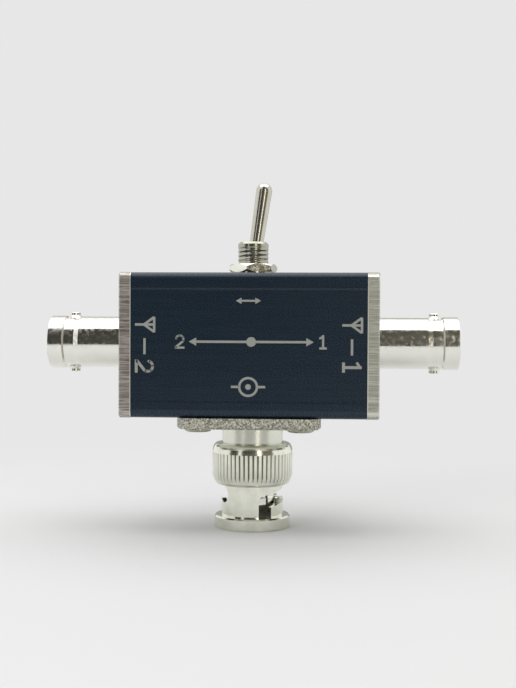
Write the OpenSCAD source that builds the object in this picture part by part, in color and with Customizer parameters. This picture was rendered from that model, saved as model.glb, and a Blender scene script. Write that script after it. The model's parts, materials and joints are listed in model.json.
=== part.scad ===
// Two-way coaxial antenna switch: a square aluminium tube closed by two plates, a bayonet jack
// in each plate, a bayonet plug on a square flange underneath and a miniature toggle on top.
// Millimetres, +Z up. The origin is the centre of the plug's mouth, +X points to jack 1,
// and the labelled face looks towards -Y.

/* [Housing tube] */
// Length of the square tube
tube_l = 41.4; // [38:0.1:60]
// Outer width and height of the square tube
tube_w = 25.6; // [25:0.1:34]
// Wall thickness of the tube
tube_wall = 1.6; // [1.2:0.1:2.2]
// Radius of the tube's four long edges
tube_edge_r = 1.5; // [0.5:0.1:2.5]
// Outer diameter of the screw ports in the tube's corners
port_d = 4.4; // [4:0.1:5.2]
// Distance from the tube's outer faces to the screw ports' centres
port_inset = 3.2; // [3:0.1:3.8]
// Width of the slit along each screw port
port_slit_w = 0.8; // [0.4:0.1:1.2]
// Distance from the tube's edges to the fine grooves on its front and back
groove_inset = 2.95; // [2:0.05:5]
// Width of the fine grooves
groove_w = 0.3; // [0.2:0.05:0.6]
// Depth of the fine grooves
groove_depth = 0.12; // [0.05:0.01:0.3]

/* [End plates] */
// Thickness of the end plates
plate_t = 2.1; // [1.6:0.1:3]
// Corner radius of the end plates
plate_corner_r = 0.9; // [0.4:0.1:2]
// Bevel around the outer face of the end plates
plate_bevel = 0.2; // [0.05:0.05:0.4]
// Thread diameter of the end screws
end_screw_d = 2.5; // [2:0.1:2.6]
// Diameter of the end screws' flat heads
end_head_d = 4.5; // [4:0.1:5]
// Length of the end screws
end_screw_l = 8; // [6:0.5:10]

/* [Bayonet jacks] */
// Height of the jacks' axis above the middle of the tube
jack_raise = 0.3; // [0:0.1:1]
// Length of the jacks in front of the plates
jack_l = 14.9; // [13.5:0.1:18]
// Diameter of the barrel's rear part
barrel_rear_d = 9.4; // [9.2:0.05:9.65]
// Diameter of the barrel's front part
barrel_d = 9.65; // [9.65:0.01:9.8]
// Length of the barrel's front part
barrel_front_l = 2.75; // [2.5:0.05:3.1]
// Distance from the mouth back to the end of the barrel's rear part
waist_back = 5.75; // [5.5:0.05:6.5]
// Diameter of the waist around the bayonet studs
waist_d = 9.1; // [9:0.05:9.3]
// Distance from the mouth to the bayonet studs
stud_back = 4.3; // [3.6:0.1:4.7]
// Diameter of the bayonet studs
stud_d = 1.95; // [1.8:0.05:2.1]
// Distance over the two studs' ends
stud_span = 11; // [10.8:0.05:11.1]
// Bore of the barrel
jack_bore_d = 8.1; // [8.05:0.01:8.2]
// Depth of the barrel's bore
jack_bore_depth = 8.4; // [8:0.1:9]
// Diameter of the jacks' insulators
jack_insulator_d = 4.8; // [4.4:0.1:5]
// Distance from the mouth back to the insulator's face
jack_insulator_back = 3.4; // [3:0.1:4]
// Diameter of the jacks' centre contacts
contact_d = 2.1; // [1.9:0.05:2.3]
// Bore of the centre contacts' sockets
socket_d = 1.38; // [1.32:0.01:1.42]
// Depth of the centre contacts' sockets
socket_depth = 5; // [4:0.1:6]
// Thread diameter of the jacks' stems
stem_d = 8; // [7.6:0.1:8.6]
// Stem length that sticks out of the nut inside
stem_end_l = 1; // [0.5:0.1:2]
// Size across the flats of the jacks' nuts
jack_nut_af = 11; // [10.5:0.1:12.5]
// Thickness of the jacks' nuts
jack_nut_t = 2; // [1.6:0.1:2.6]

/* [Plug body] */
// Distance from the tube's faces to the flange's edges
flange_inset = 0.1; // [0:0.05:1]
// Thickness of the square flange
flange_t = 1.95; // [1.5:0.05:3]
// Corner radius of the flange
flange_corner_r = 2.3; // [1.5:0.1:3]
// Bevel around the flange's lower face
flange_bevel = 0.35; // [0.1:0.05:0.5]
// Distance between the flange's screw holes
flange_pitch = 18.26; // [17.6:0.01:18.8]
// Thread diameter of the flange screws
flange_screw_d = 2.5; // [2:0.1:2.6]
// Diameter of the flange screws' heads
flange_head_d = 5; // [4:0.1:5.4]
// Height of the flange screws' heads
flange_head_h = 0.6; // [0.4:0.05:1.2]
// Depth of the flange screws in the tube
flange_screw_depth = 2.8; // [2.2:0.1:3.2]
// Diameter of the neck between the flange and the coupling nut
neck_d = 11.2; // [10.8:0.1:11.4]
// Length of the neck that shows
neck_l = 3.45; // [2.5:0.05:5]
// Diameter of the boss behind the flange
boss_d = 11; // [10:0.1:12]
// Share of the room under the terminals that the boss takes
boss_share = 0.2; // [0.1:0.01:0.3]
// Share of the room under the terminals that the solder cup takes
cup_share = 0.35; // [0.25:0.01:0.4]
// Diameter of the plug's slotted ferrule
ferrule_d = 8.1; // [8:0.01:8.1]
// Height of the ferrule's tip above the mouth
ferrule_z = 4.2; // [4.1:0.1:5]
// Wall of the ferrule
ferrule_wall = 0.5; // [0.4:0.05:0.7]
// Diameter of the plug's centre pin
pin_d = 1.35; // [1.3:0.01:1.38]
// Height of the pin's tip above the mouth
pin_z = 4.9; // [4.6:0.1:6]
// Height of the plug insulator's face above the mouth
plug_insulator_z = 9.4; // [8.6:0.1:9.8]
// Diameter of the insulator's rear part
plug_insulator_rear_d = 4.8; // [4:0.1:5.2]

/* [Coupling nut] */
// Height of the coupling nut
nut_h = 15.6; // [15.2:0.1:17]
// Width of the lip around the sleeve
lip_w = 1.27; // [1:0.01:1.5]
// Height of the lip
lip_h = 2.3; // [2:0.1:2.6]
// Bore of the sleeve
sleeve_bore_d = 9.85; // [9.8:0.01:10]
// Wall of the sleeve between lip and grip
sleeve_wall = 0.805; // [0.75:0.005:1]
// Width of the domed shoulder around the top face
shoulder_w = 0.9; // [0.6:0.05:1.2]
// Height of the grip's lower edge above the mouth
grip_z = 9.7; // [9.5:0.05:10]
// Length of the grip
grip_l = 4.2; // [4:0.05:4.6]
// Width of the rim around the retaining ring
nut_rim = 0.25; // [0.2:0.05:0.5]
// Number of straight knurls around the grip
knurl_count = 55; // [40:1:70]
// Width of the grooves between the knurls
knurl_groove = 0.44; // [0.3:0.02:0.5]
// Depth of the grooves between the knurls
knurl_depth = 0.26; // [0.15:0.01:0.35]
// Width of the bayonet slots
slot_w = 2.5; // [2.3:0.05:2.6]
// Angle of the slots' entry from the front, to the right
slot_entry = 28; // [0:1:90]
// Angle that the slots turn through
slot_turn = 91; // [80:1:95]
// Height of the slots' centre line where they start to climb
slot_z = 5.15; // [5:0.05:5.2]
// Height that the slots climb
slot_climb = 1.5; // [1.4:0.05:1.6]
// Diameter of the round pocket that ends each slot
pocket_d = 2.9; // [2.6:0.05:3]
// Drop from the slots' top to the pockets' centres
pocket_drop = 0.45; // [0.2:0.05:0.6]
// Travel of the nut along the plug
nut_travel = 0.7; // [0.4:0.05:0.8]

/* [Coupling nut, inside] */
// Height of the step that the collar rests on
step_z = 10.2; // [10.1:0.05:10.5]
// Room for the wave spring around the neck
spring_room = 0.7; // [0.6:0.02:0.8]
// Height left for the wave spring when the nut is drawn down
spring_rest = 0.65; // [0.4:0.05:0.9]
// Thickness of the ring that closes the nut
retainer_t = 1.2; // [1:0.05:1.4]
// Thickness of the flat slip washer
slip_washer_t = 0.3; // [0.2:0.05:0.4]
// Thickness of the wave spring's strip
wave_t = 0.2; // [0.15:0.01:0.3]
// Number of waves around the wave spring
wave_count = 3; // [3:1:5]
// Thickness of the gasket
gasket_t = 0.8; // [0.5:0.1:1]
// Clearance between the gasket and the sleeve
gasket_gap = 0.325; // [0.25:0.025:0.5]

/* [Toggle switch, outside] */
// Thread diameter of the bushing
bushing_d = 5.6; // [5.5:0.1:6.2]
// Height of the bushing above the tube
bushing_h = 6.1; // [5.6:0.1:8]
// Size across the flats of the hexagon nut
toggle_nut_af = 8; // [7.6:0.1:9]
// Thickness of the hexagon nut
toggle_nut_t = 1.5; // [1.2:0.1:2]
// Turn of the hexagon nut
toggle_nut_turn = 18.4; // [0:0.1:60]
// Diameter of the thin washer under the hexagon nut
toggle_washer_d = 8.5; // [8:0.1:10]
// Thickness of the thin washer under the hexagon nut
toggle_washer_t = 0.5; // [0.3:0.05:0.8]
// Distance from the bushing's top down to the lever's pivot
pivot_drop = 4.2; // [4:0.1:4.6]
// Lean of the lever to each side
lever_lean = 8.1; // [6:0.1:9]
// Distance from the pivot to the centre of the lever's tip
lever_l = 13.8; // [12:0.1:18]
// Diameter of the lever at the bushing's top
lever_base_d = 2.5; // [2:0.05:2.6]
// Diameter of the lever's round tip
lever_tip_d = 2.95; // [2.4:0.05:3.4]

/* [Toggle switch, inside] */
// Length of the switch case
case_l = 13.2; // [12.6:0.1:14]
// Width of the switch case
case_w = 7.9; // [7.6:0.1:9]
// Height of the switch case
case_h = 9.5; // [9.3:0.1:10.4]
// Wall of the switch case
case_wall = 0.9; // [0.7:0.1:1.1]
// Thickness of the switch case's floor
case_floor = 1.5; // [1.2:0.1:1.8]
// Thickness of the switch frame's sheet
frame_t = 0.8; // [0.6:0.05:1]
// Distance between the terminals
terminal_pitch = 4.7; // [4.4:0.05:4.8]
// Length of the terminals below the case
terminal_l = 4; // [3.6:0.1:4.4]
// Width of the terminals
terminal_w = 2; // [1.8:0.1:2.2]
// Thickness of the terminals
terminal_t = 0.8; // [0.6:0.05:0.9]
// Diameter of the eyes in the terminals
eye_d = 1.2; // [1.1:0.05:1.4]
// Diameter of the lever's ball
ball_d = 4; // [3.9:0.05:4.1]
// Diameter of the lever's tail
tail_d = 2.6; // [2.4:0.05:2.7]
// Length of the lever's tail below the pivot
tail_l = 7; // [6.6:0.1:7.2]
// Diameter of the spring plunger
plunger_d = 1.6; // [1.5:0.05:1.7]
// Height of the rocker's pivot above the bottom of the case
rocker_h = 4.3; // [4:0.05:4.6]
// Length of the rocker
rocker_l = 9.4; // [9:0.1:9.8]
// Width of the rocker
rocker_w = 2.6; // [2.4:0.1:2.8]
// Thickness of the rocker
rocker_t = 0.6; // [0.5:0.05:0.7]
// Tilt of the rocker to each side
rocker_tilt = 12; // [9:0.5:13]

/* [Wires] */
// Diameter of the connecting wires
wire_d = 0.9; // [0.6:0.05:0.95]

/* [Hidden] */
$fn = 96;
fit_gap = 0.02;
run_gap = 0.1;
seat_gap = 0.05;
past = 1;

// Heights, from the plug's mouth upwards
web_z = nut_h - retainer_t;
slip_z = web_z - slip_washer_t;
collar_z = step_z + seat_gap;
collar_top = slip_z - nut_travel - spring_rest;
flange_z = nut_h + neck_l;
tube_z = flange_z + flange_t;
tube_mid = tube_z + tube_w / 2;
tube_top = tube_z + tube_w;

// Tube and end plates
flange_w = tube_w - 2 * flange_inset;
port_r = port_d / 2;
port_off = tube_w / 2 - port_inset;
port_hole_r = end_screw_d / 2;
face_x = tube_l / 2 + plate_t;
boss_gap = 0.1;
screw_hole_gap = 0.1;
recess_w = 0.4;
recess_depth = 0.5;

// Jacks, measured along their axes from the plates' outer faces
jack_z = tube_mid + jack_raise;
lock_washer_t = 0.6;
lock_washer_rim = 1.8;
lock_tooth_w = 0.5;
lock_tooth_count = 12;
stem_s = -(plate_t + lock_washer_t + jack_nut_t + stem_end_l);
jack_insulator_s = jack_l - jack_insulator_back;
rim_r = 0.15;
stem_bevel = 0.25;
waist_fall = 0.85;
waist_rise = 0.3;
stud_bevel = 0.1;
stud_root = 0.35;
cup_l = 3;
cup_hole_d = 1.2;
cup_hole_depth = 1.8;
slit_w = 0.25;
slit_start = 1;
wire_reach = 1;

// Coupling nut, from the neck and the sleeve outwards
sleeve_d = sleeve_bore_d + 2 * sleeve_wall;
lip_d = sleeve_d + 2 * lip_w;
gasket_d = sleeve_bore_d - 2 * gasket_gap;
cavity_d = neck_d + 2 * spring_room;
nut_top_d = cavity_d + 2 * nut_rim;
grip_d = nut_top_d + 2 * shoulder_w;
grip_bevel = 0.35;
grip_bevel_h = 0.85;
grip_foot = 0.2;
grip_foot_h = 0.9;
foot_steps = 4;
collar_gap = 0.15;

// Plug shell, ferrule, insulator and pin
shell_wall = 0.55;
shell_l = 4.2;
shell_r = ferrule_d / 2 + shell_wall;
shell_top = collar_top + shell_l;
collar_r = cavity_d / 2 - collar_gap;
spring_in_r = neck_d / 2 + run_gap;
spring_out_r = cavity_d / 2 - run_gap;
ferrule_slots = 4;
ferrule_slot_w = 0.5;
ferrule_slot_l = 4.6;
ferrule_bead = 0.12;
ferrule_bead_l = 1.4;
pin_rear_d = 2;
pin_tip_l = 0.6;
plug_cup_d = 2.2;

// Bayonet slots of the coupling nut
slot_corner_steps = 6;
slot_ramp_steps = 8;
slot_pocket_steps = 12;
slot_lip = 0.05;
slot_key_depth = 0.75;
lip_bevel = 0.25;
throat = 0.3;
shoulder_steps = 6;

// Toggle switch
bushing_top = tube_top + bushing_h;
pivot_z = bushing_top - pivot_drop;
frame_top = tube_top - tube_wall - lock_washer_t;
case_top = frame_top - frame_t;
case_z = case_top - case_h;
rocker_z = case_z + rocker_h;
rocker_lift = 0.2;
rocker_ear = 0.4;
rocker_ear_h = 1.1;
rocker_ear_l = 2;
dome_d = 1.2;
dome_h = 0.25;
dome_x = rocker_l / 2 - dome_d / 2 - run_gap;
contact_gap = 0.2;
throw_top = rocker_z + (rocker_lift - dome_h) * cos(rocker_tilt)
  - (dome_x + dome_d / 2) * sin(rocker_tilt) - contact_gap;
fulcrum_top = rocker_z - run_gap;
plunger_gap = 0.1;
plunger_tip = pivot_z - rocker_z - rocker_lift - rocker_t - plunger_d / 2 - plunger_gap;
plunger_in = 2;
plunger_top = tail_l - plunger_in;
tail_hole_r = plunger_d / 2 + seat_gap;
tail_web = 0.2;
tail_hole_top = ball_d / 2 + tail_web;
seat_rise = 1.7;
seat_gap_ball = 0.015;
lever_clear = 0.15;
foot_step = 0.25;
bushing_throat_r = lever_base_d / 2 + seat_rise * tan(lever_lean) + lever_clear;
bushing_mouth_r = lever_base_d / 2 + pivot_drop * tan(lever_lean) + lever_clear;
bushing_foot_r = bushing_d / 2 - foot_step;
bushing_lead = 0.4;
frame_leg_t = 0.4;
frame_leg_l = 7;
eye_drop = 0.3;
terminal_z = case_z - terminal_l;
terminal_eye_z = terminal_z + terminal_w / 2 + eye_drop;
wire_lead = 1.4;
wire_side = 1.2;
eye_past = 0.7;

// Boss and solder cup of the plug, in the room under the terminals
low_room = terminal_z - tube_z - tube_wall;
boss_in_l = boss_share * low_room;
boss_top = tube_z + tube_wall + boss_in_l;
plug_cup_l = cup_share * low_room;
plug_cup_top = boss_top + plug_cup_l;
plug_cup_floor = 0.8;
wire_free = terminal_z - plug_cup_top;

// Springs
spring_wire_d = 0.24;
spring_turns = 4;
spring_clear = 0.12;
spring_mean_r = tail_hole_r - spring_wire_d / 2 - spring_clear;
spring_rings = 8;
spring_sides = 6;
wave_rings = 72;
wire_sides = 10;

// Solid of revolution about Z from an outline of [radius, height] points
module turned(points) {
  rotate_extrude() polygon(points);
}

// Ring about Z between two heights
module ring(r_out, r_in, z0, z1) {
  turned([[r_in, z0], [r_out, z0], [r_out, z1], [r_in, z1]]);
}

// Square block along Z with round corners and a bevel round its lower face
module bevelled_square(w, r, h, bevel) {
  half = w / 2;
  section = [[-half + bevel, 0], [half - bevel, 0], [half, bevel], [half, h], [-half, h], [-half, bevel]];
  for (turn = [0, 90]) {
    rotate([0, 0, turn]) rotate([90, 0, 90]) linear_extrude(w - 2 * r, center = true) polygon(section);
  }
  for (x = [-1, 1], y = [-1, 1]) {
    translate([x * (half - r), y * (half - r), 0]) {
      turned([[0, 0], [r - bevel, 0], [r, bevel], [r, h], [0, h]]);
    }
  }
}

// Hexagon with turned chamfers on its corners, above and below
module hexagon(af, h, bore_r) {
  corner_r = af / 2 / cos(30);
  chamfer_h = (corner_r - af / 2) * tan(40);
  difference() {
    intersection() {
      cylinder(r = corner_r, h = h, $fn = 6);
      turned([
        [0, 0], [af / 2, 0], [corner_r + fit_gap, chamfer_h],
        [corner_r + fit_gap, h - chamfer_h], [af / 2, h], [0, h]
      ]);
    }
    translate([0, 0, -past]) cylinder(r = bore_r, h = h + 2 * past);
  }
}

// Washer with teeth round its hole
module lock_washer(r_out, r_in) {
  tooth_l = (r_out - r_in) / 2;
  difference() {
    ring(r_out, r_in, 0, lock_washer_t);
    for (i = [0 : lock_tooth_count - 1]) {
      rotate([0, 0, i * 360 / lock_tooth_count]) {
        translate([r_in - past, -lock_tooth_w / 2, -past]) {
          cube([tooth_l + past, lock_tooth_w, lock_washer_t + 2 * past]);
        }
      }
    }
  }
}

// Cross recess cut down from the top of a screw head
module cross_recess(size) {
  for (turn = [0, 90]) {
    rotate([0, 0, turn]) {
      translate([-size / 2, -recess_w / 2, -recess_depth]) cube([size, recess_w, recess_depth + past]);
    }
  }
}

// Unit direction from one point to another
function heading(a, b) = (b - a) / norm(b - a);

// Ring of points round a wire that bends in the XZ plane, square to the mean of its two headings
function wire_ring(p, before, after) =
  let (
    mean = heading(before * 0, before + after),
    widen = 1 / (mean * after),
    normal = [-mean[2], 0, mean[0]]
  )
    [
      for (j = [0 : wire_sides - 1])
        let (b = 360 * j / wire_sides)
          p + wire_d / 2 * (normal * widen * cos(b) + [0, 1, 0] * sin(b))
    ];

// Round wire along a route in the XZ plane
module wire_path(route) {
  last = len(route) - 1;
  swept([
    for (i = [0 : last])
      let (
        before = heading(route[max(i - 1, 0)], route[max(i, 1)]),
        after = heading(route[min(i, last - 1)], route[min(i + 1, last)])
      )
        wire_ring(route[i], before, after)
  ], false);
}

// Closed tube swept along rings of points, capped at both ends unless it joins itself
module swept(rings, closed) {
  sides = len(rings[0]);
  count = len(rings);
  points = [for (r = rings) for (p = r) p];
  spans = closed ? count - 1 : count - 2;
  skin = [
    for (i = [0 : spans]) for (j = [0 : sides - 1])
      let (k = (i + 1) % count, m = (j + 1) % sides)
        for (t = [
          [i * sides + j, k * sides + m, i * sides + m],
          [i * sides + j, k * sides + j, k * sides + m]
        ]) t
  ];
  caps = closed ? [] : [
    for (j = [1 : sides - 2]) [0, j, j + 1],
    for (j = [1 : sides - 2]) let (base = (count - 1) * sides) [base, base + j + 1, base + j]
  ];
  polyhedron(points, concat(skin, caps), convexity = 8);
}

// Places children on the tube's axis, which runs along X, from x
module along_tube(x) {
  translate([x, 0, tube_mid]) rotate([0, 90, 0]) children();
}

// Right-hand pieces are drawn, and left-hand ones mirrored
module on_side(side) {
  if (side > 0) {
    children();
  } else {
    mirror([1, 0, 0]) children();
  }
}

// Places children on the right jack's axis, with Z outwards from the plate's outer face
module at_jack() {
  translate([face_x, 0, jack_z]) rotate([0, 90, 0]) children();
}

// Places children at each corner of a square
module at_corners(off) {
  for (x = [-1, 1], y = [-1, 1]) {
    translate([x * off, y * off, 0]) children();
  }
}

// Places children in the lever's own frame, with Z along the lever
module at_lever() {
  translate([0, 0, pivot_z]) rotate([0, lever_lean, 0]) children();
}

// ---- Housing tube and end plates ----

module tube_ports() {
  at_corners(port_off) cylinder(r = port_r, h = tube_l);
}

module tube_port_holes() {
  for (turn = [0 : 90 : 270]) {
    rotate([0, 0, turn]) translate([port_off, port_off, -past]) {
      cylinder(r = port_hole_r, h = tube_l + 2 * past);
      rotate([0, 0, 225]) translate([0, -port_slit_w / 2, 0]) {
        cube([port_d, port_slit_w, tube_l + 2 * past]);
      }
    }
  }
}

module housing() {
  bore_w = tube_w - 2 * tube_wall;
  color("#26313b") difference() {
    along_tube(-tube_l / 2) difference() {
      union() {
        difference() {
          bevelled_square(tube_w, tube_edge_r, tube_l, 0);
          translate([-bore_w / 2, -bore_w / 2, -past]) cube([bore_w, bore_w, tube_l + 2 * past]);
        }
        tube_ports();
      }
      tube_port_holes();
    }
    for (face = [-1, 1], side = [-1, 1]) {
      translate([0, face * tube_w / 2, tube_mid + side * (tube_w / 2 - groove_inset)]) {
        cube([tube_l + 2 * past, 2 * groove_depth, groove_w], center = true);
      }
    }
    translate([0, 0, tube_top - tube_wall - past]) cylinder(d = bushing_d + 2 * run_gap, h = tube_wall + 2 * past);
    translate([0, 0, tube_z - past]) cylinder(d = boss_d + 2 * boss_gap, h = tube_wall + 2 * past);
    translate([0, 0, tube_z - past]) {
      at_corners(flange_pitch / 2) cylinder(d = flange_screw_d + 2 * fit_gap, h = flange_screw_depth + past);
    }
  }
}

module end_plate(side) {
  color("#b9b6ae") on_side(side) difference() {
    along_tube(face_x) mirror([0, 0, 1]) bevelled_square(tube_w, plate_corner_r, plate_t, plate_bevel);
    at_jack() translate([0, 0, -plate_t - past]) cylinder(d = stem_d + 2 * screw_hole_gap, h = plate_t + 2 * past);
    along_tube(face_x) at_corners(port_off) {
      translate([0, 0, -plate_t - past]) cylinder(d = end_screw_d + 2 * screw_hole_gap, h = plate_t + 2 * past);
      end_screw_cone(screw_hole_gap, past);
    }
  }
}

// Countersunk head under the plate's face; grow widens it and rise carries it past the face
module end_screw_cone(grow, rise) {
  head_r = end_head_d / 2 + grow;
  shank_r = end_screw_d / 2 + grow;
  turned([[0, -(head_r - shank_r)], [shank_r, -(head_r - shank_r)], [head_r, 0], [head_r, rise], [0, rise]]);
}

module end_screws(side) {
  color("#3a3a3c") on_side(side) along_tube(face_x) at_corners(port_off) difference() {
    union() {
      end_screw_cone(0, 0);
      translate([0, 0, -end_screw_l]) cylinder(d = end_screw_d - 2 * fit_gap, h = end_screw_l - recess_depth);
    }
    cross_recess(end_head_d / 2);
  }
}

// ---- Bayonet jacks ----

module jack_stud() {
  root_r = barrel_d / 2;
  stud_r = stud_d / 2;
  turned([
    [0, 0], [stud_r + stud_root, 0], [stud_r + stud_root, root_r - stud_root],
    [stud_r, root_r + stud_root / 2], [stud_r, stud_span / 2 - stud_bevel],
    [stud_r - stud_bevel, stud_span / 2], [0, stud_span / 2]
  ]);
}

module jack_body(side) {
  stem_r = stem_d / 2;
  rear_r = barrel_rear_d / 2;
  front_r = barrel_d / 2;
  waist_r = waist_d / 2;
  waist_s = jack_l - waist_back;
  front_s = jack_l - barrel_front_l;
  color("#c9c8c2") on_side(side) at_jack() difference() {
    union() {
      turned([
        [0, stem_s], [stem_r - stem_bevel, stem_s], [stem_r, stem_s + stem_bevel],
        [stem_r, 0], [rear_r, 0], [rear_r, waist_s],
        [waist_r, waist_s + waist_fall], [waist_r, front_s - waist_rise],
        [front_r, front_s], [front_r, jack_l - rim_r], [front_r - rim_r, jack_l], [0, jack_l]
      ]);
      for (turn = [-90, 90]) {
        translate([0, 0, jack_l - stud_back]) rotate([0, turn, 0]) jack_stud();
      }
    }
    translate([0, 0, jack_l - jack_bore_depth]) cylinder(d = jack_bore_d, h = jack_bore_depth + past);
    translate([0, 0, stem_s - past]) cylinder(d = jack_insulator_d + 2 * fit_gap, h = jack_l - stem_s);
  }
}

module jack_insulator(side) {
  color("#f2f1ec") on_side(side) at_jack() {
    ring(jack_insulator_d / 2, contact_d / 2 + fit_gap, stem_s, jack_insulator_s);
  }
}

module jack_contact(side) {
  cup_s = stem_s - cup_l;
  color("#d9b45a") on_side(side) at_jack() difference() {
    translate([0, 0, cup_s]) cylinder(d = contact_d, h = jack_insulator_s - cup_s);
    translate([0, 0, jack_insulator_s - socket_depth]) cylinder(d = socket_d, h = socket_depth + past);
    translate([-slit_w / 2, -contact_d, jack_insulator_s - socket_depth + slit_start]) cube([slit_w, 2 * contact_d, socket_depth]);
    translate([0, 0, cup_s - past]) cylinder(d = cup_hole_d, h = cup_hole_depth + past);
  }
}

module jack_washer(side) {
  color("#a9a9a4") on_side(side) at_jack() {
    translate([0, 0, -plate_t - lock_washer_t]) lock_washer(stem_d / 2 + lock_washer_rim, stem_d / 2 + fit_gap);
  }
}

module jack_nut(side) {
  color("#c2bfb6") on_side(side) at_jack() {
    translate([0, 0, -plate_t - lock_washer_t - jack_nut_t]) hexagon(jack_nut_af, jack_nut_t, stem_d / 2 + fit_gap);
  }
}

// ---- Plug on the flange ----

module plug_body() {
  color("#bdb9ad") difference() {
    union() {
      translate([0, 0, flange_z]) bevelled_square(flange_w, flange_corner_r, flange_t, flange_bevel);
      translate([0, 0, collar_top]) cylinder(d = neck_d, h = flange_z - collar_top + flange_t / 2);
      translate([0, 0, flange_z + flange_t / 2]) cylinder(d = boss_d, h = boss_top - flange_z - flange_t / 2);
    }
    translate([0, 0, collar_top - past]) cylinder(r = shell_r + fit_gap, h = shell_top - collar_top + past);
    cylinder(d = plug_insulator_rear_d + 2 * fit_gap, h = boss_top + past);
    translate([0, 0, flange_z - past]) {
      at_corners(flange_pitch / 2) cylinder(d = flange_screw_d + 2 * screw_hole_gap, h = flange_t + 2 * past);
    }
  }
}

module flange_screws() {
  head_r = flange_head_d / 2;
  soft = flange_head_h / 3;
  color("#cfccc4") translate([0, 0, flange_z]) at_corners(flange_pitch / 2) difference() {
    turned([
      [0, -flange_head_h], [head_r - 2 * soft, -flange_head_h], [head_r - soft / 2, -2 * soft],
      [head_r, -soft], [head_r, 0], [flange_screw_d / 2, 0],
      [flange_screw_d / 2, flange_t + flange_screw_depth - soft],
      [flange_screw_d / 2 - soft, flange_t + flange_screw_depth], [0, flange_t + flange_screw_depth]
    ]);
    translate([0, 0, -flange_head_h]) mirror([0, 0, 1]) cross_recess(head_r);
  }
}

// Shell pressed into the neck; its collar carries the coupling nut
module plug_shell() {
  bore_r = ferrule_d / 2 + fit_gap;
  color("#b5b2a8") turned([
    [bore_r, collar_z], [collar_r, collar_z], [collar_r, collar_top],
    [shell_r, collar_top], [shell_r, shell_top], [bore_r, shell_top]
  ]);
}

module plug_ferrule() {
  out_r = ferrule_d / 2;
  in_r = out_r - ferrule_wall;
  color("#d0cec8") difference() {
    turned([
      [in_r, ferrule_z + ferrule_bead], [in_r + ferrule_bead, ferrule_z], [out_r - ferrule_bead, ferrule_z],
      [out_r, ferrule_z + 2 * ferrule_bead], [out_r, ferrule_z + ferrule_bead_l],
      [out_r - ferrule_bead, ferrule_z + ferrule_bead_l + 2 * ferrule_bead],
      [out_r - ferrule_bead, collar_z - gasket_t - 2 * ferrule_bead], [out_r, collar_z - gasket_t],
      [out_r, shell_top], [in_r, shell_top]
    ]);
    for (i = [0 : ferrule_slots / 2 - 1]) {
      rotate([0, 0, 45 + i * 360 / ferrule_slots]) {
        translate([-ferrule_d, -ferrule_slot_w / 2, ferrule_z - past]) {
          cube([2 * ferrule_d, ferrule_slot_w, ferrule_slot_l + past]);
        }
      }
    }
  }
}

module plug_gasket() {
  color("#c8623c") ring(gasket_d / 2, ferrule_d / 2 + fit_gap, collar_z - gasket_t, collar_z);
}

module plug_insulator() {
  front_r = ferrule_d / 2 - ferrule_wall - fit_gap;
  hole_r = pin_rear_d / 2 + fit_gap;
  rear_r = plug_insulator_rear_d / 2;
  color("#f2f1ec") turned([
    [hole_r, plug_insulator_z], [front_r, plug_insulator_z], [front_r, shell_top],
    [rear_r, shell_top], [rear_r, boss_top], [hole_r, boss_top]
  ]);
}

module plug_pin() {
  rear_r = pin_rear_d / 2;
  pin_r = pin_d / 2;
  color("#d9b45a") difference() {
    turned([
      [0, pin_z], [pin_r / 3, pin_z], [pin_r, pin_z + pin_tip_l], [pin_r, plug_insulator_z],
      [rear_r, plug_insulator_z], [rear_r, boss_top], [plug_cup_d / 2, boss_top],
      [plug_cup_d / 2, plug_cup_top], [0, plug_cup_top]
    ]);
    translate([0, 0, boss_top + plug_cup_floor]) cylinder(d = cup_hole_d, h = plug_cup_l);
  }
}

// ---- Coupling nut ----

// Slots are laid out by the arc along the sleeve from the entry's centre line, in millimetres
function slot_end() = sleeve_d / 2 * slot_turn * PI / 180;
function ramp(arc) = slot_z + slot_climb * max(0, min(1, arc / (slot_end() - pocket_d / 2)));
function bow(arc, centre, r) = sqrt(max(0, r * r - (arc - centre) * (arc - centre)));
function slot_low(arc) =
  let (
    wall = arc < slot_w / 2 ? lip_h : ramp(arc) - slot_w / 2,
    pocket = slot_z + slot_climb - pocket_drop - bow(arc, slot_end(), pocket_d / 2)
  )
    arc > slot_end() ? pocket : arc > slot_end() - pocket_d / 2 ? min(wall, pocket) : wall;
function slot_high(arc) =
  let (
    wall = ramp(arc) + (arc < 0 ? bow(arc, 0, slot_w / 2) : slot_w / 2),
    pocket = slot_z + slot_climb - pocket_drop + bow(arc, slot_end(), pocket_d / 2)
  )
    arc > slot_end() ? pocket : arc > slot_end() - pocket_d / 2 ? max(wall - slot_lip, pocket) : wall;

// One slot through the sleeve: up from the lip, up a ramp round the sleeve and into a pocket
module bayonet_slot() {
  start = -slot_w / 2;
  stop = slot_end() + pocket_d / 2;
  edge = 0.02;
  arcs = concat(
    [for (i = [0 : slot_corner_steps]) start * cos(90 * i / slot_corner_steps)],
    [slot_w / 4, slot_w / 2 - edge],
    [for (i = [0 : slot_ramp_steps])
      slot_w / 2 + (slot_end() - pocket_d / 2 - edge - slot_w / 2) * i / slot_ramp_steps],
    [for (i = [0 : slot_pocket_steps]) slot_end() - pocket_d / 2 * cos(180 * i / slot_pocket_steps)]
  );
  in_r = sleeve_bore_d / 2 - past / 2;
  out_r = sleeve_d / 2 + past / 2;
  swept([
    for (arc = arcs)
      let (
        a = arc * 180 / PI / (sleeve_d / 2),
        inset = arc > stop - edge ? edge : 0,
        low = slot_low(arc) - inset,
        high = slot_high(arc) + inset
      )
        [for (q = [[in_r, low], [in_r, high], [out_r, high], [out_r, low]]) [q[0] * cos(a), q[0] * sin(a), q[1]]]
  ], false);
  translate([0, -slot_w / 2, -past]) {
    cube([sleeve_bore_d / 2 + slot_key_depth, slot_w, lip_h + 2 * past]);
  }
}

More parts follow.
